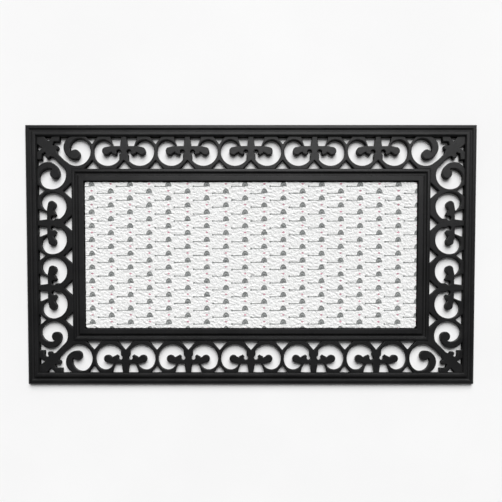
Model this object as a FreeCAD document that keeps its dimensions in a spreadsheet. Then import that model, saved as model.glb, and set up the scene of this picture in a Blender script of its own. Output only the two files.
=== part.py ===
import FreeCAD, Part
import os
import re
import Sketcher

# A moulded rubber door mat with an openwork scroll border and a lift-out felt insert.
# Millimetres. The origin is at the middle of the underside, +X runs along the length, +Y towards
# the back edge and +Z up.
#
# The moulding is drawn as two rings of mitred rails with the scroll border between them. A scroll
# unit and a corner are plates that gaps are cut out of. Each is drawn in a frame of its own: the
# outer rail is at y = 0, and y grows towards the middle of the mat.

SIZES = [
    ("mat_length", 760, "overall length along X"),
    ("mat_depth", 437, "overall depth along Y"),
    ("outer_rail", 20, "width of the outer rail"),
    ("inner_rail", 21, "width of the rail round the insert"),
    ("long_band", 53.5, "depth of the scroll border at the front and back"),
    ("short_band", 57.5, "depth of the scroll border at the sides"),
    ("rail_height", 10, "top of the raised band of each rail"),
    ("scroll_height", 7, "top of the scroll border"),
    ("lip_width", 5.8, "outer lip, from the edge to the groove"),
    ("lip_height", 8, "top of the outer lip, beside the groove"),
    ("lip_edge", 5.6, "height of the mat's outer edge"),
    ("lip_crown", 0.75, "how far the lip's arc rises above its chord"),
    ("flange_width", 5, "inner rail's flange, from the scrolls to the groove"),
    ("flange_height", 9, "top of the flange, beside the groove"),
    ("flange_edge", 7.8, "height of the flange's edge beside the scrolls"),
    ("flange_crown", 0.4, "how far the flange's arc rises above its chord"),
    ("groove_width", 7.4, "width of the round groove in each rail"),
    ("groove_depth", 3, "how far each groove dips below the chord between its edges"),
    ("band_bevel", 2.6, "slope of the outer rail's band down to the scrolls"),
    ("opening_bevel", 0.8, "bevel round the insert opening"),
    ("floor_thickness", 2, "rubber floor under the insert"),
    ("backing_thickness", 2, "rubber backing of the insert"),
    ("felt_thickness", 3.2, "felt face of the insert"),
    ("insert_corner", 4, "corner radius of the insert"),
    ("insert_clearance", 1, "gap round the insert"),
    ("seat_clearance", 0.3, "gap under the insert"),
    ("unit_pitch", 107, "wanted distance between fleurs; the border rounds it to a whole count"),
    ("corner_long", 92.3, "corner piece along the front and back rails"),
    ("corner_short", 89.7, "corner piece along the side rails"),
    ("ring_radius", 24, "inside radius of the large arc of each scroll"),
    ("curl_radius", 15.4, "inside radius of the tighter arc by the outer rail"),
    ("curl_turn", 25.5, "direction of the tighter arc in a unit, degrees from the rail"),
    ("corner_turn", 42, "direction of the tighter arc in a corner, degrees from the rail"),
    ("joint_strap", 5, "strap between two neighbouring scrolls"),
    ("ring_depth", 24.1, "centre of the large arc from the outer rail"),
    ("bulb_radius", 6.6, "round end of a scroll in a unit"),
    ("bulb_shift", 3, "bulb centre from the scroll centre, towards the joint"),
    ("bulb_depth", 23.5, "bulb centre from the outer rail"),
    ("stem_root", 4.4, "half width of the fleur stem at the outer rail"),
    ("stem_foot", 6.4, "half width of the fleur stem at the crossbar"),
    ("crossbar_start", 15.2, "outer rail to the crossbar"),
    ("arm_strap", 2.4, "width of the arm beside the crossbar"),
    ("arm_bend", 1.5, "how far the arm has leaned outwards at its bend"),
    ("arm_bend_depth", 6, "outer rail to that bend"),
    ("arm_root", 3, "how far the arm has leaned outwards at the outer rail"),
    ("neck_width", 5, "half width of the fleur below the crossbar"),
    ("notch_radius", 3.6, "round notch beside the neck"),
    ("notch_depth", 25.2, "outer rail to the centre of the notch"),
    ("leaf_tip_side", 14.4, "leaf tip from the fleur's axis"),
    ("leaf_tip_depth", 30.5, "leaf tip from the outer rail"),
    ("valley_side", 20.7, "valley between leaf and bulb, from the fleur's axis"),
    ("valley_depth", 25.2, "valley from the outer rail"),
    ("head_radius", 7.7, "half width of the fleur's head"),
    ("head_depth", 31.5, "middle of the head from the outer rail"),
    ("spandrel_depth", 15.3, "depth of the triangular gaps beside the inner rail"),
    ("spandrel_side", 13.4, "half width of those gaps at the inner rail"),
    ("eyelet_depth", 12.2, "depth of the small gap between two scrolls at the outer rail"),
    ("eyelet_side", 9.5, "half width of that gap at the outer rail"),
    ("corner_bulb", 8.2, "round end of a corner scroll"),
    ("corner_bulb_back", 2, "bulb centre of a corner scroll, from its ring centre towards the corner"),
    ("corner_bulb_drop", 5, "bulb centre of a corner scroll, from that centre away from the outer rail"),
    ("corner_hook", 19.5, "outside radius of a corner scroll's hook"),
    ("corner_curl", 16.3, "inside radius of a corner scroll's hook"),
    ("leaf_reach", 38.2, "leaf of the corner ornament, along the outer rail"),
    ("leaf_drop", 8, "leaf of the corner ornament, away from the rail"),
    ("leaf_notch_along", 25.6, "end of the notch under that leaf, along the outer rail"),
    ("leaf_notch_away", 13.5, "end of the notch under that leaf, away from the rail"),
    ("lobe_radius", 4, "small round lobe of the corner ornament"),
    ("lobe_along", 32, "lobe centre along the outer rail"),
    ("lobe_away", 17.5, "lobe centre away from the outer rail"),
    ("eye_start", 12.5, "small gap in the corner ornament, its near end along the outer rail"),
    ("eye_end", 25, "the far end of that gap"),
    ("eye_depth", 8.5, "how far that gap reaches from the outer rail"),
    ("diagonal_strap", 9.3, "width of the strap from the corner ornament to the inner rail"),
    ("strap_start", 30.8, "near end of that strap, from both outer rails"),
    ("strap_end", 41.2, "where that strap begins to curve, from both outer rails"),
    ("strap_turn", 62, "where that strap meets the large arc, degrees from the rail"),
    ("overcut", 1, "how far a mitre is cut past the rail"),
]

UP = FreeCAD.Vector(0, 0, 1)
ALIASES = re.compile(r"\b(" + "|".join(alias for alias, value, meaning in SIZES) + r")\b")

# Places that several pieces share, written as expressions of the sizes.
OPENING_LENGTH = "(mat_length - 2*(outer_rail + short_band + inner_rail))"
OPENING_DEPTH = "(mat_depth - 2*(outer_rail + long_band + inner_rail))"
LONG_RUN = "(mat_length - 2*(outer_rail + corner_long))"
SHORT_RUN = "(mat_depth - 2*(outer_rail + corner_short))"
RING_TO_JOINT = "(ring_radius + joint_strap/2)"
CUT_HEIGHT = "(2*scroll_height)"

doc = FreeCAD.newDocument("door_mat")
sheet = doc.addObject("Spreadsheet::Sheet", "sizes")


def fill_sheet():
    """Writes each driving size into the sheet: its name, its number and what it is."""
    for row, (alias, value, meaning) in enumerate(SIZES, start=1):
        sheet.set(f"A{row}", alias)
        sheet.set(f"B{row}", str(value))
        sheet.setAlias(f"B{row}", alias)
        sheet.set(f"C{row}", meaning)
    doc.recompute()


def formula(text):
    """Turns a formula over the sizes' names into an expression that reads the sheet."""
    return ALIASES.sub(r"sizes.\1", text)


def value_of(text):
    return float(sheet.evalExpression(text))


def bind(item, **formulas):
    """Binds properties to formulas; a double underscore stands for a dot."""
    for name, text in formulas.items():
        item.setExpression(name.replace("__", "."), formula(text))
    return item


def place(item, x="0", y="0", z="0", turn=0):
    """Turns an item about Z by a fixed angle and binds its position."""
    item.Placement = FreeCAD.Placement(FreeCAD.Vector(), FreeCAD.Rotation(UP, turn))
    return bind(item, Placement__Base__x=x, Placement__Base__y=y, Placement__Base__z=z)


def draw_edge(sketch, start, end, rise):
    """Draws a line, or an arc that rises from its chord, and returns its first and last vertex.

    Arcs run counterclockwise in a sketch, so one that rises to the left of its chord is turned round.
    """
    if rise == 0:
        sketch.addGeometry(Part.LineSegment(start, end))
        return 1, 2
    across = FreeCAD.Vector(start.y - end.y, end.x - start.x, 0).normalize()
    middle = (start + end) / 2 + across * rise
    if rise > 0:
        sketch.addGeometry(Part.Arc(end, middle, start))
        return 2, 1
    sketch.addGeometry(Part.Arc(start, middle, end))
    return 1, 2


def hold(sketch, kind, edge, vertex, rough, text):
    """Adds a constraint and ties its value to a formula."""
    at = (-1, 1, edge, vertex) if vertex else (edge,)
    number = sketch.addConstraint(Sketcher.Constraint(kind, *at, rough))
    sketch.setExpression(f"Constraints[{number}]", formula(text))


def draw_outline(sketch, corners):
    """Draws a closed outline and holds each corner by its two distances from the origin.

    A corner's third value makes an arc of the edge after it. It is how far the arc's middle rises to
    the left of its chord, or falls to the right where it is negative.
    """
    points = [FreeCAD.Vector(value_of(corner[0]), value_of(corner[1]), 0) for corner in corners]
    rises = [corner[2] if len(corner) > 2 else "0" for corner in corners]
    ends = [
        draw_edge(sketch, start, end, value_of(rise))
        for start, end, rise in zip(points, points[1:] + points[:1], rises)
    ]
    for edge, (first, last) in enumerate(ends):
        following = (edge + 1) % len(ends)
        joined = Sketcher.Constraint("Coincident", edge, last, following, ends[following][0])
        sketch.addConstraint(joined)
    for edge, corner in enumerate(corners):
        x, y = corner[:2]
        first = ends[edge][0]
        hold(sketch, "DistanceX", edge, first, points[edge].x, x)
        hold(sketch, "DistanceY", edge, first, points[edge].y, y)
        if rises[edge] != "0":
            next_x, next_y = corners[(edge + 1) % len(corners)][:2]
            square = f"(({next_x} - ({x}))^2 + ({next_y} - ({y}))^2)"
            rise = f"abs({rises[edge]})"
            radius = f"{square}/(8*{rise}) + {rise}/2"
            hold(sketch, "Radius", edge, None, value_of(radius), radius)


def prism(name, corners):
    """An upright prism on an outline of straight lines, taller than the scroll border."""
    sketch = doc.addObject("Sketcher::SketchObject", name + "_outline")
    draw_outline(sketch, corners)
    item = doc.addObject("Part::Extrusion", name)
    item.Base = sketch
    item.DirMode = "Custom"
    item.Dir = UP
    item.Solid = True
    return bind(item, LengthFwd=CUT_HEIGHT)


def disc(name, radius, x, y):
    item = doc.addObject("Part::Cylinder", name)
    bind(item, Radius=radius, Height=CUT_HEIGHT)
    return place(item, x, y)


def sector(name, radius, x, y, start, sweep):
    """The part of a disc between two angles, counted from +X."""
    item = disc(name, radius, x, y)
    return bind(item, Angle=sweep, Placement__Rotation__Angle=start)


def block(name, length, depth, height, x="0", y="0", z="0"):
    item = doc.addObject("Part::Box", name)
    bind(item, Length=length, Width=depth, Height=height)
    return place(item, x, y, z)


def fuse(name, shapes):
    item = doc.addObject("Part::MultiFuse", name)
    item.Shapes = shapes
    return item


def cut(name, base, tool):
    item = doc.addObject("Part::Cut", name)
    item.Base = base
    item.Tool = tool
    return item


def mirror(name, source, normal):
    item = doc.addObject("Part::Mirroring", name)
    item.Source = source
    item.Normal = normal
    return item


def edge_gaps(name, joint, band):
    """The halves of the two gaps at a joint that belong to the piece on its left."""
    eyelet = prism(
        name + "_eyelet",
        [(joint, "0"), (joint, "eyelet_depth"), (f"{joint} - eyelet_side", "0")],
    )
    spandrel = prism(
        name + "_joint_spandrel",
        [(joint, band), (f"{joint} - spandrel_side", band), (joint, f"{band} - spandrel_depth")],
    )
    return [eyelet, spandrel]


def unit_gaps(name, pitch, band):
    """Everything that is cut out of the half of a scroll unit with positive x."""
    ring_x = f"({pitch}/2 - {RING_TO_JOINT})"
    curl_x = f"({ring_x} + (ring_radius - curl_radius)*cos(curl_turn*1deg))"
    curl_y = "(ring_depth - (ring_radius - curl_radius)*sin(curl_turn*1deg))"
    bulb_x = f"({ring_x} + bulb_shift)"
    arm_x = f"({curl_x} - curl_radius)"
    spandrel_tip = f"({band} - spandrel_depth)"

    ring = sector(name + "_ring", "ring_radius", ring_x, "ring_depth", "-curl_turn", "180")
    curl = disc(name + "_curl", "curl_radius", curl_x, curl_y)
    slot = prism(
        name + "_slot",
        [
            ("neck_width + notch_radius", "notch_depth"),
            ("leaf_tip_side", "leaf_tip_depth"),
            (ring_x, "ring_depth"),
            (ring_x, "leaf_tip_depth + notch_radius"),
            ("neck_width", "leaf_tip_depth + notch_radius"),
            ("neck_width", "notch_depth"),
        ],
    )
    open_space = fuse(name + "_open", [ring, curl, slot])

    bulb = disc(name + "_bulb", "bulb_radius", bulb_x, "bulb_depth")
    leaf = prism(
        name + "_leaf",
        [
            ("0", "crossbar_start"),
            (f"{arm_x} + bulb_shift", "crossbar_start"),
            (bulb_x, "bulb_depth - bulb_radius"),
            (bulb_x, "bulb_depth + bulb_radius"),
            ("valley_side", "valley_depth"),
            ("leaf_tip_side", "leaf_tip_depth"),
            ("neck_width + 2*notch_radius", "notch_depth"),
            ("0", "notch_depth"),
        ],
    )
    head = disc(name + "_head", "head_radius", "0", "head_depth")
    head_foot = block(
        name + "_head_foot", "head_radius", f"{spandrel_tip} - head_depth", CUT_HEIGHT, y="head_depth"
    )
    ornament = fuse(name + "_ornament", [bulb, leaf, head, head_foot])
    scroll = cut(name + "_scroll", open_space, ornament)

    notch = disc(name + "_notch", "notch_radius", "neck_width + notch_radius", "notch_depth")
    window = prism(
        name + "_window",
        [
            ("stem_root", "0"),
            (f"{arm_x} + arm_root", "0"),
            (f"{arm_x} + arm_bend", "arm_bend_depth"),
            (f"{arm_x} - arm_strap", "crossbar_start"),
            ("stem_foot", "crossbar_start"),
        ],
    )
    spandrel = prism(
        name + "_spandrel", [("0", spandrel_tip), ("spandrel_side", band), ("0", band)]
    )
    gaps = [scroll, notch, window, spandrel] + edge_gaps(name, f"{pitch}/2", band)
    return fuse(name + "_gaps", gaps)


def scroll_units(side, count, run, band, spots):
    """Makes the units of the front and back, or of the two sides, from one plate and its gaps."""
    pitch = f"({run}/{count})"
    plate = block(side + "_plate", pitch, band, "scroll_height", x=f"-{pitch}/2")
    right = unit_gaps(side, pitch, band)
    left = mirror(side + "_left_gaps", right, FreeCAD.Vector(1, 0, 0))
    gaps = fuse(side + "_all_gaps", [right, left])
    for label, turn in spots:
        for number in range(count):
            along = f"({number - (count - 1) / 2}*{pitch})"
            unit = cut(f"scroll_{label}_{number + 1}", plate, gaps)
            place_on_side(unit, label, along, "outer_rail", turn)


def place_on_side(item, label, along, inset, turn):
    """Puts an item with its rail side a given inset from one edge of the mat, facing inwards."""
    x, y = {
        "front": (along, f"-mat_depth/2 + {inset}"),
        "back": (along, f"mat_depth/2 - ({inset})"),
        "left": (f"-mat_length/2 + {inset}", along),
        "right": (f"mat_length/2 - ({inset})", along),
    }[label]
    place(item, x, y, turn=turn)
    export.append(item)


def corner_gaps(name, reach, band):
    """Everything that is cut out of the arm of a corner along x."""
    ring_x = f"({reach} - {RING_TO_JOINT})"
    curl_x = f"({ring_x} + (ring_radius - corner_curl)*cos(corner_turn*1deg))"
    curl_y = "(ring_depth - (ring_radius - corner_curl)*sin(corner_turn*1deg))"
    bulb_x = f"({ring_x} - corner_bulb_back)"
    bulb_y = "(ring_depth + corner_bulb_drop)"
    strap_side = "diagonal_strap/sqrt(8)"

    ring_sweep = "180 + corner_turn - strap_turn"
    ring = sector(name + "_ring", "ring_radius", ring_x, "ring_depth", "-corner_turn", ring_sweep)
    curl = disc(name + "_curl", "corner_curl", curl_x, curl_y)
    field = prism(
        name + "_field",
        [
            ("leaf_reach", "0"),
            (f"{bulb_x} - corner_hook/3", "0"),
            (ring_x, "ring_depth"),
            (ring_x, "ring_depth + ring_radius"),
            (
                f"{ring_x} - ring_radius*cos(strap_turn*1deg)",
                "ring_depth + ring_radius*sin(strap_turn*1deg)",
            ),
            (f"strap_end + {strap_side}", f"strap_end - {strap_side}"),
            (f"strap_start + {strap_side}", f"strap_start - {strap_side}"),
            ("lobe_along", "lobe_away + lobe_radius"),
            ("lobe_along - lobe_radius/2", "lobe_away - lobe_radius/2"),
            ("leaf_notch_along", "leaf_notch_away"),
            ("lobe_along - lobe_radius", "leaf_drop"),
            ("leaf_reach", "leaf_drop"),
        ],
    )
    open_space = fuse(name + "_open", [ring, curl, field])

    hook_y = f"{bulb_y} + corner_bulb - corner_hook"
    hook = sector(name + "_hook", "corner_hook", bulb_x, hook_y, "90", "180")
    hook_strap = cut(name + "_hook_strap", hook, curl)
    bulb = disc(name + "_bulb", "corner_bulb", bulb_x, bulb_y)
    lobe = disc(name + "_lobe", "lobe_radius", "lobe_along", "lobe_away")
    ornament = fuse(name + "_ornament", [hook_strap, bulb, lobe])
    scroll = cut(name + "_scroll", open_space, ornament)

    eye = prism(
        name + "_eye",
        [("eye_start", "0"), ("eye_end", "0"), ("(eye_start + eye_end)/2", "eye_depth")],
    )
    return fuse(name + "_gaps", [scroll, eye] + edge_gaps(name, reach, band))


def corner_pieces():
    """The four corners of the border: one drawing, its mirror image, and each turned half round."""
    long_arm = block("corner_long_arm", "corner_long", "long_band", "scroll_height")
    short_arm = block("corner_short_arm", "short_band", "corner_short", "scroll_height")
    plate = fuse("corner_plate", [long_arm, short_arm])
    long_gaps = corner_gaps("corner_long_side", "corner_long", "long_band")
    short_source = corner_gaps("corner_short_side", "corner_short", "short_band")
    short_gaps = mirror("corner_short_gaps", short_source, FreeCAD.Vector(1, -1, 0))
    gaps = fuse("corner_all_gaps", [long_gaps, short_gaps])
    mirrored_plate = mirror("corner_mirrored_plate", plate, FreeCAD.Vector(1, 0, 0))
    mirrored_gaps = mirror("corner_mirrored_gaps", gaps, FreeCAD.Vector(1, 0, 0))
    edge_x = "mat_length/2 - outer_rail"
    edge_y = "mat_depth/2 - outer_rail"
    corners = [
        ("corner_front_left", plate, gaps, f"-({edge_x})", f"-({edge_y})", 0),
        ("corner_front_right", mirrored_plate, mirrored_gaps, edge_x, f"-({edge_y})", 0),
        ("corner_back_right", plate, gaps, edge_x, edge_y, 180),
        ("corner_back_left", mirrored_plate, mirrored_gaps, f"-({edge_x})", edge_y, 180),
    ]
    for name, corner_plate, corner_gap, x, y, turn in corners:
        piece = cut(name, corner_plate, corner_gap)
        place(piece, x, y, turn=turn)
        export.append(piece)


def origin_plane(body, role):
    return next(item for item in body.Origin.OriginFeatures if item.Role == role)


def body_sketch(body, name, role, corners):
    sketch = body.newObject("Sketcher::SketchObject", name)
    sketch.AttachmentSupport = [(origin_plane(body, role), "")]
    sketch.MapMode = "FlatFace"
    draw_outline(sketch, corners)
    return sketch


def rail(name, length, width, profile):
    """A rail along x with its outer side at y = 0 and a 45 degree mitre at each end."""
    body = doc.addObject("PartDesign::Body", name)
    pad = body.newObject("PartDesign::Pad", name + "_pad")
    pad.Profile = body_sketch(body, name + "_profile", "YZ_Plane", profile)
    pad.Midplane = True
    bind(pad, Length=length)
    past_rail = f"{width} + overcut"
    for end, sign in (("start", "-1"), ("end", "1")):
        tip = f"{sign}*{length}/2"
        mitre = body.newObject("PartDesign::Pocket", f"{name}_{end}_mitre")
        mitre.Profile = body_sketch(
            body,
            f"{name}_{end}_mitre_outline",
            "XY_Plane",
            [(tip, "0"), (tip, past_rail), (f"{tip} - {sign}*({past_rail})", past_rail)],
        )
        mitre.Type = "ThroughAll"
        mitre.Midplane = True
    return body


def outer_profile():
    groove_end = "lip_width + groove_width"
    return [
        ("0", "0"),
        ("0", "lip_edge", "lip_crown"),
        ("lip_width", "lip_height", "-groove_depth"),
        (groove_end, "rail_height"),
        ("outer_rail - band_bevel", "rail_height"),
        ("outer_rail", "scroll_height"),
        ("outer_rail", "0"),
    ]


def inner_profile():
    groove_end = "flange_width + groove_width"
    return [
        ("0", "0"),
        ("0", "flange_edge", "flange_crown"),
        ("flange_width", "flange_height", "-groove_depth"),
        (groove_end, "rail_height"),
        ("inner_rail - opening_bevel", "rail_height"),
        ("inner_rail", "rail_height - opening_bevel"),
        ("inner_rail", "0"),
    ]


def rails():
    """Four outer and four inner rails."""
    sides = [
        ("front", "mat_length", f"({OPENING_LENGTH} + 2*inner_rail)", "long_band", 0),
        ("back", "mat_length", f"({OPENING_LENGTH} + 2*inner_rail)", "long_band", 180),
        ("left", "mat_depth", f"({OPENING_DEPTH} + 2*inner_rail)", "short_band", -90),
        ("right", "mat_depth", f"({OPENING_DEPTH} + 2*inner_rail)", "short_band", 90),
    ]
    for label, outer_length, inner_length, band, turn in sides:
        outer = rail(f"outer_rail_{label}", outer_length, "outer_rail", outer_profile())
        place_on_side(outer, label, "0", "0", turn)
        inner = rail(f"inner_rail_{label}", inner_length, "inner_rail", inner_profile())
        place_on_side(inner, label, "0", f"outer_rail + {band}", turn)


def insert_layer(name, thickness, bottom):
    """One layer of the insert: a sheet with rounded corners that drops into the opening."""
    half_x = f"({OPENING_LENGTH}/2 - insert_clearance)"
    half_y = f"({OPENING_DEPTH}/2 - insert_clearance)"
    body = doc.addObject("PartDesign::Body", name)
    pad = body.newObject("PartDesign::Pad", name + "_pad")
    pad.Profile = body_sketch(
        body,
        name + "_outline",
        "XY_Plane",
        [
            (f"-{half_x}", f"-{half_y}"),
            (half_x, f"-{half_y}"),
            (half_x, half_y),
            (f"-{half_x}", half_y),
        ],
    )
    bind(pad, Length=thickness)
    doc.recompute()
    upright = [
        f"Edge{number}"
        for number, edge in enumerate(pad.Shape.Edges, start=1)
        if abs(edge.tangentAt(edge.FirstParameter).z) > 0.9
    ]
    corners = body.newObject("PartDesign::Fillet", name + "_corners")
    corners.Base = (pad, upright)
    bind(corners, Radius="insert_corner")
    place(body, z=bottom)
    export.append(body)


def recess_floor():
    floor = block(
        "recess_floor",
        OPENING_LENGTH,
        OPENING_DEPTH,
        "floor_thickness",
        x=f"-{OPENING_LENGTH}/2",
        y=f"-{OPENING_DEPTH}/2",
    )
    export.append(floor)


def check_objects():
    """Stops if any object failed or any piece is not one valid solid."""
    for item in doc.Objects:
        if "Invalid" in item.State or "Error" in item.State:
            raise RuntimeError(f"{item.Name} did not build: {item.State}")
    for item in export:
        if item.Shape.isNull() or not item.Shape.isValid() or len(item.Shape.Solids) != 1:
            raise RuntimeError(f"{item.Name} is not one valid solid")


def write_pieces():
    os.makedirs("parts", exist_ok=True)
    for item in export:
        item.Label = item.Name
        item.Shape.exportStep(f"parts/{item.Name}.step")


export = []
fill_sheet()
rails()
long_count = max(1, round(value_of(f"{LONG_RUN}/unit_pitch")))
short_count = max(1, round(value_of(f"{SHORT_RUN}/unit_pitch")))
scroll_units("long", long_count, LONG_RUN, "long_band", [("front", 0), ("back", 180)])
scroll_units("short", short_count, SHORT_RUN, "short_band", [("left", -90), ("right", 90)])
corner_pieces()
recess_floor()
insert_layer("insert_backing", "backing_thickness", "floor_thickness + seat_clearance")
insert_layer(
    "insert_face",
    "felt_thickness",
    "floor_thickness + seat_clearance + backing_thickness",
)
doc.recompute()
check_objects()
write_pieces()
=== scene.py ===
import math

import bmesh
import bpy
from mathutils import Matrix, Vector, noise


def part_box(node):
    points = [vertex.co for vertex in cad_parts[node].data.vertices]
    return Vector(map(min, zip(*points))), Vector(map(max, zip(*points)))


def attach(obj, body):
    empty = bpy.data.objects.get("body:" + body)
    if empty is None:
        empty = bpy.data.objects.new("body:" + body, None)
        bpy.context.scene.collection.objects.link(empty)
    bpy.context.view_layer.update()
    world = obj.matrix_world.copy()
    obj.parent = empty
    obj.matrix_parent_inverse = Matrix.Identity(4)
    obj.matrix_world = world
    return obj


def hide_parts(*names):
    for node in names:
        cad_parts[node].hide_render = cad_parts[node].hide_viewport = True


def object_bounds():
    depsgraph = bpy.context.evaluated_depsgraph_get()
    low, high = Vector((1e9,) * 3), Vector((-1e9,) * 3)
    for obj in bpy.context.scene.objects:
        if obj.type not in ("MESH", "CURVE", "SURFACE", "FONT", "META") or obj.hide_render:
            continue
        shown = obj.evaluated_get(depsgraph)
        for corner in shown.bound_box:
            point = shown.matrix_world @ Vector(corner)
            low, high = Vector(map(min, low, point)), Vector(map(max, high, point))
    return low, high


# A moulded rubber door mat with a felt insert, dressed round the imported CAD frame. Metres, +Z up,
# +Y towards the back edge. The scroll border is the CAD nodes' own surfaces, joined without seams and
# with rounded edges. Each rail ring is a CAD rail's section, swept round the mat. The felt is a new
# sheet with a small repeating print.

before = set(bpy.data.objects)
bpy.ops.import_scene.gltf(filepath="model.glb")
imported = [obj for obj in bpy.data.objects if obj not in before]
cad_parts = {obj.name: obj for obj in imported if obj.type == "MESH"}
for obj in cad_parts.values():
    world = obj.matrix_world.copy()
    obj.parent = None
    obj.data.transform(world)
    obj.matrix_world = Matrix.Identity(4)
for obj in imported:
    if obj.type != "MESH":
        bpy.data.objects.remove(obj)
cad_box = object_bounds()

MM = 0.001

# ------------------------------------------------------------------ places, read from the frame

NODES = sorted(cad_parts)
OUTER_RAILS = [node for node in NODES if node.startswith("outer_rail_")]
INNER_RAILS = [node for node in NODES if node.startswith("inner_rail_")]
SCROLLS = [node for node in NODES if node.startswith(("scroll_", "corner_"))]
MAT_LOW, MAT_HIGH = cad_box
FIELD_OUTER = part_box("corner_back_right")[1]     # where the scroll border meets the outer rails
FIELD_INNER = Vector(                            # and where it meets the inner rails
    (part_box("inner_rail_right")[1].x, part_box("inner_rail_back")[1].y, 0)
)
SCROLL_TOP = FIELD_OUTER.z
FELT_LOW, FELT_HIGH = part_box("insert_face")
FELT_HALF = (FELT_HIGH - FELT_LOW) / 2

# ------------------------------------------------------------------ sizes of the meshes

WELD = 0.02 * MM             # corners of two nodes that are this close are one corner
SLIVER = 0.12 * MM           # edges shorter than this are merged before rounding
FLAT = math.radians(0.5)     # faces that meet within this angle are one face
CREASE = math.radians(25)    # edges sharper than this are rounded or stay crisp
SCROLL_ROUND = 0.8 * MM      # rounding of the scrolls' top edges
RAIL_ROUND = 0.4 * MM        # rounding of the rails' edges
ROUND_STEPS = 3
TOUCH = 0.1 * MM             # how near a wall a point counts as on it
SECTION_STEP = 50 * MM       # longer than any edge across a rail

FELT_STEP = 1.7 * MM         # spacing of the felt's grid
FELT_CORNER = 4 * MM         # corner radius of the insert, seen from above
FELT_ROUND = 1.0 * MM        # rounding of the felt's top edge
FELT_ROUND_STEPS = 4
FELT_SINK = 0.8 * MM         # the felt's mean surface below its CAD top, which its lumps reach
FELT_WAVE = 0.25 * MM        # slow waves
FELT_WAVE_LENGTH = 90 * MM
FELT_LUMP = 1.25 * MM        # lumps of the needled surface, stretched along its grain
FELT_LUMP_LENGTH = 5.5 * MM
FELT_LUMP_WIDTH = 2.8 * MM
FELT_GRAIN = math.radians(-25)

# ------------------------------------------------------------------ the felt's print

# Staggered rows of small domes, each with a fine line and a dot, and a mark between two domes.
DOME_PITCH = 64.75 * MM
ROW_PITCH = 11.6 * MM
FIRST_DOME_X = 11.5 * MM     # from the felt's left edge
FIRST_DOME_Y = 3.0 * MM      # from its back edge
DOME_SPOT = 0.7              # the dome's place in its cell, as a share of the pitch
DOME_RADIUS = 5.3 * MM
DOME_HEIGHT = 8.4 * MM
BOW_RADIUS = 0.62 * DOME_RADIUS      # a paler bow inside the dome
BOW_HALF_WIDTH = 0.1 * DOME_RADIUS
LINE_REACH = 22.2 * MM       # dome centre to the dot at the line's far end
LINE_WIDTH = 1.3 * MM
DOT_RADIUS = 1.5 * MM
MARK_RADIUS = 2.8 * MM
MARK_FLATNESS = 1.7          # how many times wider than deep a mark is
INK_SOFT = 0.35 * MM         # how far the ink bleeds
INK_WANDER = 0.25 * MM       # how far the print strays from its true line
INK_WANDER_SIZE = 1.6 * MM

# ------------------------------------------------------------------ sizes and colours of the materials

RUBBER_CLOUDS = 60 * MM      # the size of each unevenness, and how deep those that show as relief are
RUBBER_DUST = 14 * MM
RUBBER_SPECKLE = 1.2 * MM
RUBBER_RIPPLE = 5 * MM
RUBBER_RIPPLE_DEPTH = 0.1 * MM
RUBBER_GRAIN = 0.45 * MM
RUBBER_GRAIN_DEPTH = 0.06 * MM
HOLLOW_REACH = 9 * MM        # how near its walls a hollow gets painted shade and turns matt
FELT_CLOUDS = 45 * MM
FELT_TUFTS = 3.2 * MM
FELT_TUFT_DEPTH = 2.4 * MM
FELT_FIBRES = 0.9 * MM
FELT_FIBRE_DEPTH = 0.35 * MM
FLOOR_MOTTLE = 250 * MM
FLOOR_GRAIN = 3 * MM
FLOOR_GRAIN_DEPTH = 0.05 * MM

BLACK = (0.006, 0.006, 0.0065, 1)
CHARCOAL = (0.011, 0.011, 0.0115, 1)
DUST = (0.05, 0.049, 0.047, 1)
# painted shade: the near-black that the rubber's hollows are darkened towards
PAINTED_SHADE_BLACK = (0.001, 0.001, 0.001, 1)
FELT_WHITE = (0.955, 0.955, 0.95, 1)
FELT_SHADE = (0.845, 0.85, 0.85, 1)
FIBRE_GREY = (0.72, 0.73, 0.74, 1)
FELT_CREAM = (0.88, 0.87, 0.84, 1)
INK_GREY = (0.09, 0.1, 0.098, 1)
INK_PALE = (0.42, 0.44, 0.43, 1)
INK_PINK = (0.55, 0.19, 0.27, 1)
FLOOR_PALE = (0.9, 0.9, 0.9, 1)
FLOOR_SHADE = (0.88, 0.88, 0.88, 1)

# ------------------------------------------------------------------ shader helpers


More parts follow.
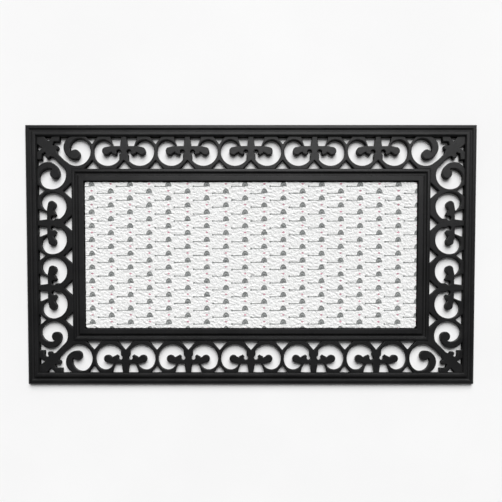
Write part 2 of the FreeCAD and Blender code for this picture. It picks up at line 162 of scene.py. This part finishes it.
class Shading:
    """Short ways to build one material's node tree."""

    def __init__(self, name):
        self.material = bpy.data.materials.new(name)
        self.material.use_nodes = True
        self.tree = self.material.node_tree
        self.surface = self.tree.nodes["Principled BSDF"]
        self.place = self.node("ShaderNodeTexCoord").outputs["Object"]

    def node(self, kind, **settings):
        made = self.tree.nodes.new(kind)
        for name, value in settings.items():
            setattr(made, name, value)
        return made

    def feed(self, socket, value):
        """Links an output to a socket, or sets the socket's own value."""
        if isinstance(value, bpy.types.NodeSocket):
            self.tree.links.new(value, socket)
        else:
            socket.default_value = value

    def maths(self, operation, *values):
        made = self.node("ShaderNodeMath", operation=operation)
        for socket, value in zip(made.inputs, values):
            self.feed(socket, value)
        return made.outputs["Value"]

    def length(self, first, second):
        """Length of a flat vector from its two parts."""
        squares = [self.maths("MULTIPLY", part, part) for part in (first, second)]
        return self.maths("SQRT", self.maths("ADD", *squares))

    def axes(self, vector):
        """The X, Y and Z outputs of a vector."""
        split = self.node("ShaderNodeSeparateXYZ")
        self.feed(split.inputs["Vector"], vector)
        return split.outputs

    def noise(self, size, detail=4.0, rough=0.55):
        """Noise from 0 to 1 whose lumps are about this size in metres."""
        made = self.node("ShaderNodeTexNoise")
        self.feed(made.inputs["Vector"], self.place)
        made.inputs["Scale"].default_value = 1 / size
        made.inputs["Detail"].default_value = detail
        made.inputs["Roughness"].default_value = rough
        return made.outputs["Fac"]

    def span(self, value, low, high, to_low=0.0, to_high=1.0):
        """Maps a value from one range to another, with soft ends."""
        made = self.node("ShaderNodeMapRange", interpolation_type="SMOOTHSTEP")
        self.feed(made.inputs["Value"], value)
        for socket, number in zip(("From Min", "From Max", "To Min", "To Max"),
                                  (low, high, to_low, to_high)):
            made.inputs[socket].default_value = number
        return made.outputs["Result"]

    def near(self, distance, limit):
        """One where a distance is inside a limit, fading to nothing over the width that ink bleeds."""
        return self.span(distance, limit - INK_SOFT, limit + INK_SOFT, 1.0, 0.0)

    def mix(self, share, first, second):
        """Mixes two colours."""
        made = self.node("ShaderNodeMixRGB")
        self.feed(made.inputs["Fac"], share)
        self.feed(made.inputs["Color1"], first)
        self.feed(made.inputs["Color2"], second)
        return made.outputs["Color"]

    def bump(self, height, distance, strength, under=None):
        """A normal with this relief, on top of the normal under it."""
        made = self.node("ShaderNodeBump")
        made.inputs["Distance"].default_value = distance
        made.inputs["Strength"].default_value = strength
        self.feed(made.inputs["Height"], height)
        if under:
            self.feed(made.inputs["Normal"], under)
        return made.outputs["Normal"]

    def finish(self, colour, roughness, normal, specular, sheen=0.0):
        self.feed(self.surface.inputs["Base Color"], colour)
        self.feed(self.surface.inputs["Roughness"], roughness)
        self.feed(self.surface.inputs["Normal"], normal)
        self.surface.inputs["Specular IOR Level"].default_value = specular
        self.surface.inputs["Sheen Weight"].default_value = sheen
        return self.material


# ------------------------------------------------------------------ materials

# The plain numbers given to span are where each ramp over a noise starts and ends, and how far it goes.


def rubber(name, dark, roughness, grain, soft_edge):
    """Moulded rubber: soft edges, a fine grain, cloudy colour, a little dust and paler worn edges. Its
    hollows get painted shade and turn matt, and it is more or less glossy from speckle to speckle."""
    shading = Shading(name)
    clouds = shading.noise(RUBBER_CLOUDS, detail=5.0)
    speckle = shading.noise(RUBBER_SPECKLE, detail=3.0, rough=0.7)
    dust = shading.noise(RUBBER_DUST, detail=8.0, rough=0.72)
    colour = shading.mix(shading.span(clouds, 0.3, 0.7), dark, CHARCOAL)
    colour = shading.mix(shading.span(speckle, 0.62, 0.8, 0.0, 0.35), colour, DUST)
    colour = shading.mix(shading.span(dust, 0.55, 0.85, 0.0, 0.4), colour, DUST)

    rounded = shading.node("ShaderNodeBevel", samples=6)
    rounded.inputs["Radius"].default_value = soft_edge
    worn = shading.maths("MULTIPLY", edge_mask(shading, rounded.outputs["Normal"]),
                         shading.span(clouds, 0.35, 0.65, 0.15, 0.6))
    colour = shading.mix(worn, colour, DUST)

    # Painted shade: where the ambient-occlusion node finds walls close by, the colour is darkened
    # towards black and the rubber is made matt.
    open_sky = shading.node("ShaderNodeAmbientOcclusion", samples=4)
    open_sky.inputs["Distance"].default_value = HOLLOW_REACH
    painted_shade_and_matt = shading.span(open_sky.outputs["AO"], 0.5, 0.92, 1.0, 0.0)
    colour = shading.mix(painted_shade_and_matt, colour, PAINTED_SHADE_BLACK)
    varied = shading.span(speckle, 0.3, 0.75, roughness - 0.07, roughness + 0.09)
    matt = shading.maths("ADD", varied, shading.maths("MULTIPLY", painted_shade_and_matt, 0.5))

    ripple = shading.noise(RUBBER_RIPPLE, detail=2.0)
    broad = shading.bump(ripple, RUBBER_RIPPLE_DEPTH, 0.5, under=rounded.outputs["Normal"])
    fine = shading.noise(RUBBER_GRAIN, detail=3.0, rough=0.6)
    normal = shading.bump(fine, RUBBER_GRAIN_DEPTH, grain, under=broad)
    return shading.finish(colour, matt, normal, specular=0.2)


def edge_mask(shading, rounded_normal):
    """One along the edges, where the rounded normal turns away from the face's own."""
    turned = shading.node("ShaderNodeVectorMath", operation="DOT_PRODUCT")
    shading.feed(turned.inputs[0], shading.node("ShaderNodeNewGeometry").outputs["Normal"])
    shading.feed(turned.inputs[1], rounded_normal)
    return shading.span(turned.outputs["Value"], 0.97, 0.85, 0.0, 1.0)


def print_cell(shading):
    """A point's place in its cell of the print: how far along from the dome's middle, and how far up
    from the row's. Every second row is shifted by half a cell."""
    wobble = shading.noise(INK_WANDER_SIZE, detail=2.0)
    shift = shading.span(wobble, 0.2, 0.8, -INK_WANDER, INK_WANDER)
    place = shading.axes(shading.place)
    x = shading.maths("ADD", place["X"], shift)
    y = shading.maths("ADD", place["Y"], shift)

    down = shading.maths("SUBTRACT", FELT_HIGH.y - FIRST_DOME_Y, y)
    row_share = shading.maths("ADD", shading.maths("DIVIDE", down, ROW_PITCH), 0.5)
    row = shading.maths("FLOOR", row_share)
    stagger = shading.maths("MULTIPLY", shading.maths("FLOORED_MODULO", row, 2.0), 0.5)
    above = shading.maths("SUBTRACT", 0.5, shading.maths("FRACT", row_share))
    up = shading.maths("MULTIPLY", above, ROW_PITCH)

    across = shading.maths("SUBTRACT", x, FELT_LOW.x + FIRST_DOME_X)
    cell_share = shading.maths("DIVIDE", across, DOME_PITCH)
    cell_share = shading.maths("ADD", shading.maths("SUBTRACT", cell_share, stagger), DOME_SPOT)
    beside = shading.maths("SUBTRACT", shading.maths("FRACT", cell_share), DOME_SPOT)
    along = shading.maths("MULTIPLY", beside, DOME_PITCH)
    return along, up


def dome_masks(shading, along, over_foot):
    """A half dome that stands on its foot, and the bow inside it."""
    rise = shading.maths("MULTIPLY", over_foot, DOME_RADIUS / DOME_HEIGHT)
    reach = shading.length(along, rise)
    above_foot = shading.near(shading.maths("MULTIPLY", over_foot, -1.0), 0.0)
    dome = shading.maths("MULTIPLY", shading.near(reach, DOME_RADIUS), above_foot)
    bow_offset = shading.maths("ABSOLUTE", shading.maths("SUBTRACT", reach, BOW_RADIUS))
    return dome, shading.near(bow_offset, BOW_HALF_WIDTH)


def line_mask(shading, along, over_foot):
    """A fine line level with the dome's foot, and the dot at its far end."""
    from_foot = shading.maths("ABSOLUTE", over_foot)
    from_middle = shading.maths("ABSOLUTE", shading.maths("ADD", along, LINE_REACH / 2))
    line = shading.maths("MULTIPLY", shading.near(from_foot, LINE_WIDTH / 2),
                         shading.near(from_middle, LINE_REACH / 2))
    to_dot = shading.length(shading.maths("ADD", along, LINE_REACH), over_foot)
    return shading.maths("MAXIMUM", line, shading.near(to_dot, DOT_RADIUS))


def mark_mask(shading, along, up):
    """A small flat diamond halfway between two domes."""
    aside = shading.maths("ABSOLUTE", shading.maths("ADD", along, DOME_PITCH / 2))
    away = shading.maths("MULTIPLY", shading.maths("ABSOLUTE", up), MARK_FLATNESS)
    return shading.near(shading.maths("ADD", aside, away), MARK_RADIUS)


def printed_felt():
    """White needled felt with the print soaked into its face. The cut sides carry no ink."""
    shading = Shading("printed_felt_weave")
    fibres = shading.noise(FELT_FIBRES, detail=6.0, rough=0.75)
    tufts = shading.noise(FELT_TUFTS, detail=4.0, rough=0.6)
    clouds = shading.noise(FELT_CLOUDS, detail=3.0)
    ground = shading.mix(shading.span(tufts, 0.3, 0.7), FELT_SHADE, FELT_WHITE)
    ground = shading.mix(shading.span(fibres, 0.55, 0.75, 0.0, 0.35), ground, FIBRE_GREY)
    ground = shading.mix(shading.span(clouds, 0.3, 0.7, 0.0, 0.12), ground, FELT_CREAM)

    along, up = print_cell(shading)
    over_foot = shading.maths("ADD", up, DOME_HEIGHT / 2)
    dome, bow = dome_masks(shading, along, over_foot)
    grey = shading.maths("MAXIMUM", dome, line_mask(shading, along, over_foot))
    pink = mark_mask(shading, along, up)

    facing = shading.axes(shading.node("ShaderNodeNewGeometry").outputs["Normal"])
    on_top = shading.span(facing["Z"], 0.15, 0.45)
    soaked = shading.maths("MULTIPLY", on_top, shading.span(fibres, 0.2, 0.7, 1.0, 0.78))
    ink = shading.mix(shading.maths("MULTIPLY", bow, 0.45), INK_GREY, INK_PALE)
    colour = shading.mix(shading.maths("MULTIPLY", grey, soaked), ground, ink)
    colour = shading.mix(shading.maths("MULTIPLY", pink, soaked), colour, INK_PINK)

    tuft_bump = shading.bump(tufts, FELT_TUFT_DEPTH, 1.0)
    normal = shading.bump(fibres, FELT_FIBRE_DEPTH, 0.7, under=tuft_bump)
    return shading.finish(colour, 0.95, normal, specular=0.2, sheen=0.25)


def floor_paint():
    """A pale, matt studio floor."""
    shading = Shading("floor_paint")
    mottle = shading.noise(FLOOR_MOTTLE, detail=3.0)
    colour = shading.mix(shading.span(mottle, 0.3, 0.7), FLOOR_SHADE, FLOOR_PALE)
    normal = shading.bump(shading.noise(FLOOR_GRAIN), FLOOR_GRAIN_DEPTH, 0.2)
    return shading.finish(colour, 0.7, normal, specular=0.2)


# ------------------------------------------------------------------ meshes


def corner_key(point):
    return tuple(round(value / WELD) for value in point)


def joined_nodes(nodes):
    """One closed mesh of several CAD nodes: shared corners become one, and the faces where two nodes
    meet, whose corners all belong to both, are left out."""
    owners = {}
    for node in nodes:
        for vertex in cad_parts[node].data.vertices:
            owners.setdefault(corner_key(vertex.co), set()).add(node)
    mesh = bmesh.new()
    corners = {}
    for node in nodes:
        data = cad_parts[node].data
        for face in data.polygons:
            points = [data.vertices[index].co for index in face.vertices]
            keys = [corner_key(point) for point in points]
            shrunk = len(set(keys)) < len(keys)
            shared = len(set.intersection(*(owners[key] for key in keys))) > 1
            if shrunk or shared:
                continue
            for key, point in zip(keys, points):
                if key not in corners:
                    corners[key] = mesh.verts.new(point)
            mesh.faces.new([corners[key] for key in keys])
    bmesh.ops.remove_doubles(mesh, verts=mesh.verts, dist=SLIVER)
    bmesh.ops.dissolve_limit(mesh, angle_limit=FLAT, verts=mesh.verts, edges=mesh.edges)
    bmesh.ops.recalc_face_normals(mesh, faces=mesh.faces)
    return mesh


def new_piece(name, mesh, material, body, replaced):
    """Makes an object of a bmesh, gives it its material and puts it on its body."""
    data = bpy.data.meshes.new(name)
    mesh.to_mesh(data)
    mesh.free()
    data.shade_smooth()
    data.set_sharp_from_angle(angle=CREASE)
    data.materials.append(material)
    piece = bpy.data.objects.new(name, data)
    bpy.context.scene.collection.objects.link(piece)
    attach(piece, body)
    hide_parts(*replaced)
    return piece


def mark_edges(mesh, wanted):
    """Gives the convex, sharp edges that are wanted a bevel weight of one."""
    weight = mesh.edges.layers.float.new("bevel_weight_edge")
    for edge in mesh.edges:
        if edge.calc_face_angle_signed(0.0) > CREASE and wanted(edge):
            edge[weight] = 1.0


def round_edges(piece, width):
    """Rounds a piece's marked edges."""
    rounding = piece.modifiers.new("rounding", "BEVEL")
    rounding.limit_method = "WEIGHT"
    rounding.width = width
    rounding.segments = ROUND_STEPS
    rounding.use_clamp_overlap = False
    rounding.miter_outer = "MITER_SHARP"
    rounding.harden_normals = True


def meets_rail(point):
    """Whether a point lies where the scroll border meets an outer or an inner rail."""
    x, y = abs(point.x), abs(point.y)
    if max(x - FIELD_OUTER.x, y - FIELD_OUTER.y) > -TOUCH:
        return True
    return x < FIELD_INNER.x + TOUCH and y < FIELD_INNER.y + TOUCH


def scroll_border(material):
    """The openwork of scrolls and fleurs, its top edges rounded except where it meets the rails."""
    mesh = joined_nodes(SCROLLS)

    def is_free_top_edge(edge):
        first, second = (vertex.co for vertex in edge.verts)
        on_top = min(first.z, second.z) > SCROLL_TOP - TOUCH
        return on_top and not (meets_rail(first) and meets_rail(second))

    mark_edges(mesh, is_free_top_edge)
    piece = new_piece("scroll_border", mesh, material, "frame", SCROLLS)
    round_edges(piece, SCROLL_ROUND)


def rail_section(rail):
    """A front rail's section, read on its mitre: how far each corner is from the ring's outer side,
    and its height, in order over the top."""
    low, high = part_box(rail)
    section = {}
    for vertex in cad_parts[rail].data.vertices:
        offset = vertex.co.y - low.y
        on_mitre = abs(high.x - vertex.co.x - offset) < TOUCH
        if on_mitre and vertex.co.z > TOUCH:
            section[corner_key((offset, vertex.co.z))] = (offset, vertex.co.z)
    top = sorted(section.values())
    return [(top[0][0], 0.0)] + top + [(top[-1][0], 0.0)]


def rail_ring(name, nodes, material):
    """Four rails as one mitred ring: the section swept round a rectangle, with rounded edges."""
    rail = next(node for node in nodes if node.endswith("_front"))
    low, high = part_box(rail)
    section = rail_section(rail)
    mesh = bmesh.new()
    turns = []
    for side_x, side_y in ((1, -1), (1, 1), (-1, 1), (-1, -1)):
        turns.append([
            mesh.verts.new((side_x * (high.x - offset), side_y * (-low.y - offset), height))
            for offset, height in section
        ])
    for start, end in zip(turns, turns[1:] + turns[:1]):
        for index in range(len(section)):
            before = index - 1       # before the first corner comes the last, which closes the section
            mesh.faces.new((start[before], end[before], end[index], start[index]))
    bmesh.ops.recalc_face_normals(mesh, faces=mesh.faces)

    def is_free_edge(edge):
        first, second = (vertex.co for vertex in edge.verts)
        along = (first - second).length > SECTION_STEP
        foot = max(first.z, second.z) < TOUCH
        return along and (not foot or abs(first.x) > MAT_HIGH.x - TOUCH)

    mark_edges(mesh, is_free_edge)
    piece = new_piece(name, mesh, material, "frame", nodes)
    round_edges(piece, RAIL_ROUND)


def felt_lines(low, high):
    """Grid lines across the felt: closer together over the rounding at each edge."""
    turns = [step * math.pi / 2 / FELT_ROUND_STEPS for step in range(FELT_ROUND_STEPS + 1)]
    edge = [FELT_ROUND * (1 - math.cos(turn)) for turn in turns]
    inner = high - low - 2 * FELT_ROUND
    count = round(inner / FELT_STEP)
    middle = [low + FELT_ROUND + inner * step / count for step in range(1, count)]
    return [low + offset for offset in edge] + middle + [high - offset for offset in reversed(edge)]


def felt_surface(x, y):
    """Height of the felt's face: slow waves, lumps, and a rounded edge."""
    gap = min(FELT_HALF.x - abs(x), FELT_HALF.y - abs(y))
    drop = 0.0
    if gap < FELT_ROUND:
        drop = FELT_ROUND - math.sqrt(max(0.0, FELT_ROUND ** 2 - (FELT_ROUND - gap) ** 2))
    wave = FELT_WAVE * noise.noise(Vector((x, y, 0)) / FELT_WAVE_LENGTH)
    along = x * math.cos(FELT_GRAIN) + y * math.sin(FELT_GRAIN)
    across = y * math.cos(FELT_GRAIN) - x * math.sin(FELT_GRAIN)
    lump = FELT_LUMP * noise.noise(Vector((along / FELT_LUMP_LENGTH, across / FELT_LUMP_WIDTH, 0)))
    return FELT_HIGH.z - FELT_SINK + wave + lump - drop


def rounded_corner(x, y):
    """Pulls the points near a corner of the felt onto quarter circles."""
    centre_x = FELT_HALF.x - FELT_CORNER
    centre_y = FELT_HALF.y - FELT_CORNER
    over_x = abs(x) - centre_x
    over_y = abs(y) - centre_y
    if min(over_x, over_y) <= 0:
        return x, y
    share = max(over_x, over_y) / math.hypot(over_x, over_y)
    return math.copysign(centre_x + over_x * share, x), math.copysign(centre_y + over_y * share, y)


def felt_sheet(material):
    """The felt face: a lumpy top on a fine grid, straight sides and a flat underside."""
    mesh = bmesh.new()
    columns = felt_lines(FELT_LOW.x, FELT_HIGH.x)
    rows = felt_lines(FELT_LOW.y, FELT_HIGH.y)
    grid = []
    for y in rows:
        line = []
        for x in columns:
            line.append(mesh.verts.new((*rounded_corner(x, y), felt_surface(x, y))))
        grid.append(line)
    for lower, upper in zip(grid, grid[1:]):
        for left in range(len(columns) - 1):
            mesh.faces.new((lower[left], lower[left + 1], upper[left + 1], upper[left]))
    rim = grid[0][:-1] + [line[-1] for line in grid[:-1]]
    rim += grid[-1][:0:-1] + [line[0] for line in grid[:0:-1]]
    foot = [mesh.verts.new((vertex.co.x, vertex.co.y, FELT_LOW.z)) for vertex in rim]
    for index, vertex in enumerate(rim):
        following = (index + 1) % len(rim)
        mesh.faces.new((foot[index], foot[following], rim[following], vertex))
    mesh.faces.new(list(reversed(foot)))
    piece = new_piece("felt_face", mesh, material, "insert", ["insert_face"])


def dress_node(name, material):
    """Gives a carried-over CAD node its material. Its shape stays the CAD's own."""
    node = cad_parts[name]
    node.data.materials.clear()
    node.data.materials.append(material)


# ------------------------------------------------------------------ stage, light and camera

FLOOR_SIZE = 60.0
FLOOR_CELLS = 8
FLOOR_DROP = 0.1 * MM        # keeps the floor clear of the mat's underside
KEY_FROM = (0.1, 0.95, 1)    # the key light's side: high, behind the mat and a little to the right
KEY_SPREAD = math.radians(55)
KEY_STRENGTH = 3.9
ROOM_AROUND = 0.92           # brightness of the room near the horizon and below it
ROOM_OVERHEAD = 0.13
ROOM_FADE = (0.02, 0.35)     # heights on a unit sphere between which one turns into the other
CAMERA_HEIGHT = 0.8          # above the mat's top
CAMERA_BACK = 0.13           # how far the camera stands towards the front edge
CAMERA_TILT = math.radians(-1.7)
VIEW_WIDTH = 0.851           # width of the picture at the mat
VIEW_MIDDLE = 0.0077         # the picture's middle, behind the mat's own
SENSOR = 36.0


def add_floor():
    mesh = bmesh.new()
    bmesh.ops.create_grid(mesh, x_segments=FLOOR_CELLS, y_segments=FLOOR_CELLS, size=FLOOR_SIZE / 2)
    data = bpy.data.meshes.new("floor")
    mesh.to_mesh(data)
    mesh.free()
    data.materials.append(floor_paint())
    floor = bpy.data.objects.new("floor", data)
    floor.location.z = MAT_LOW.z - FLOOR_DROP
    bpy.context.scene.collection.objects.link(floor)


def add_key_light():
    """A wide, distant light: the softbox of a studio, so far off that it lights the floor evenly."""
    lamp = bpy.data.lights.new("key", "SUN")
    lamp.angle = KEY_SPREAD
    lamp.energy = KEY_STRENGTH
    item = bpy.data.objects.new("key", lamp)
    item.rotation_euler = Vector(KEY_FROM).to_track_quat("Z", "Y").to_euler()
    bpy.context.scene.collection.objects.link(item)


def add_world():
    """A pale room: bright near and below the horizon, as the floor is, and dimmer overhead."""
    world = bpy.data.worlds.new("studio")
    world.use_nodes = True
    tree = world.node_tree
    direction = tree.nodes.new("ShaderNodeTexCoord")
    split = tree.nodes.new("ShaderNodeSeparateXYZ")
    fade = tree.nodes.new("ShaderNodeMapRange")
    fade.interpolation_type = "SMOOTHSTEP"
    fade.inputs["From Min"].default_value = ROOM_FADE[0]
    fade.inputs["From Max"].default_value = ROOM_FADE[1]
    fade.inputs["To Min"].default_value = ROOM_AROUND
    fade.inputs["To Max"].default_value = ROOM_OVERHEAD
    tree.links.new(direction.outputs["Generated"], split.inputs["Vector"])
    tree.links.new(split.outputs["Z"], fade.inputs["Value"])
    background = tree.nodes["Background"]
    background.inputs["Color"].default_value = (1, 1, 1, 1)
    tree.links.new(fade.outputs["Result"], background.inputs["Strength"])
    bpy.context.scene.world = world


def add_camera():
    """Looks down on the mat from just in front of its middle. The shift puts the mat in the frame."""
    data = bpy.data.cameras.new("camera")
    data.sensor_width = SENSOR
    data.lens = SENSOR * CAMERA_HEIGHT / VIEW_WIDTH
    aimed_at = -CAMERA_BACK + CAMERA_HEIGHT * math.tan(CAMERA_TILT)
    data.shift_y = (VIEW_MIDDLE - aimed_at) / VIEW_WIDTH
    camera = bpy.data.objects.new("camera", data)
    camera.location = (0, -CAMERA_BACK, MAT_HIGH.z + CAMERA_HEIGHT)
    camera.rotation_euler = (CAMERA_TILT, 0, 0)
    bpy.context.scene.collection.objects.link(camera)
    bpy.context.scene.camera = camera


# ------------------------------------------------------------------ the scene

add_camera()
add_floor()
add_world()
add_key_light()
bpy.context.scene.view_settings.view_transform = "Standard"

moulded = rubber("moulded_rubber_grain", BLACK, roughness=0.38, grain=0.25, soft_edge=1.9 * MM)
backing = rubber("backing_rubber_grain", CHARCOAL, roughness=0.75, grain=0.9, soft_edge=0.6 * MM)

rail_ring("outer_rail_ring", OUTER_RAILS, moulded)
rail_ring("inner_rail_ring", INNER_RAILS, moulded)
scroll_border(moulded)
dress_node("recess_floor", moulded)
dress_node("insert_backing", backing)
felt_sheet(printed_felt())
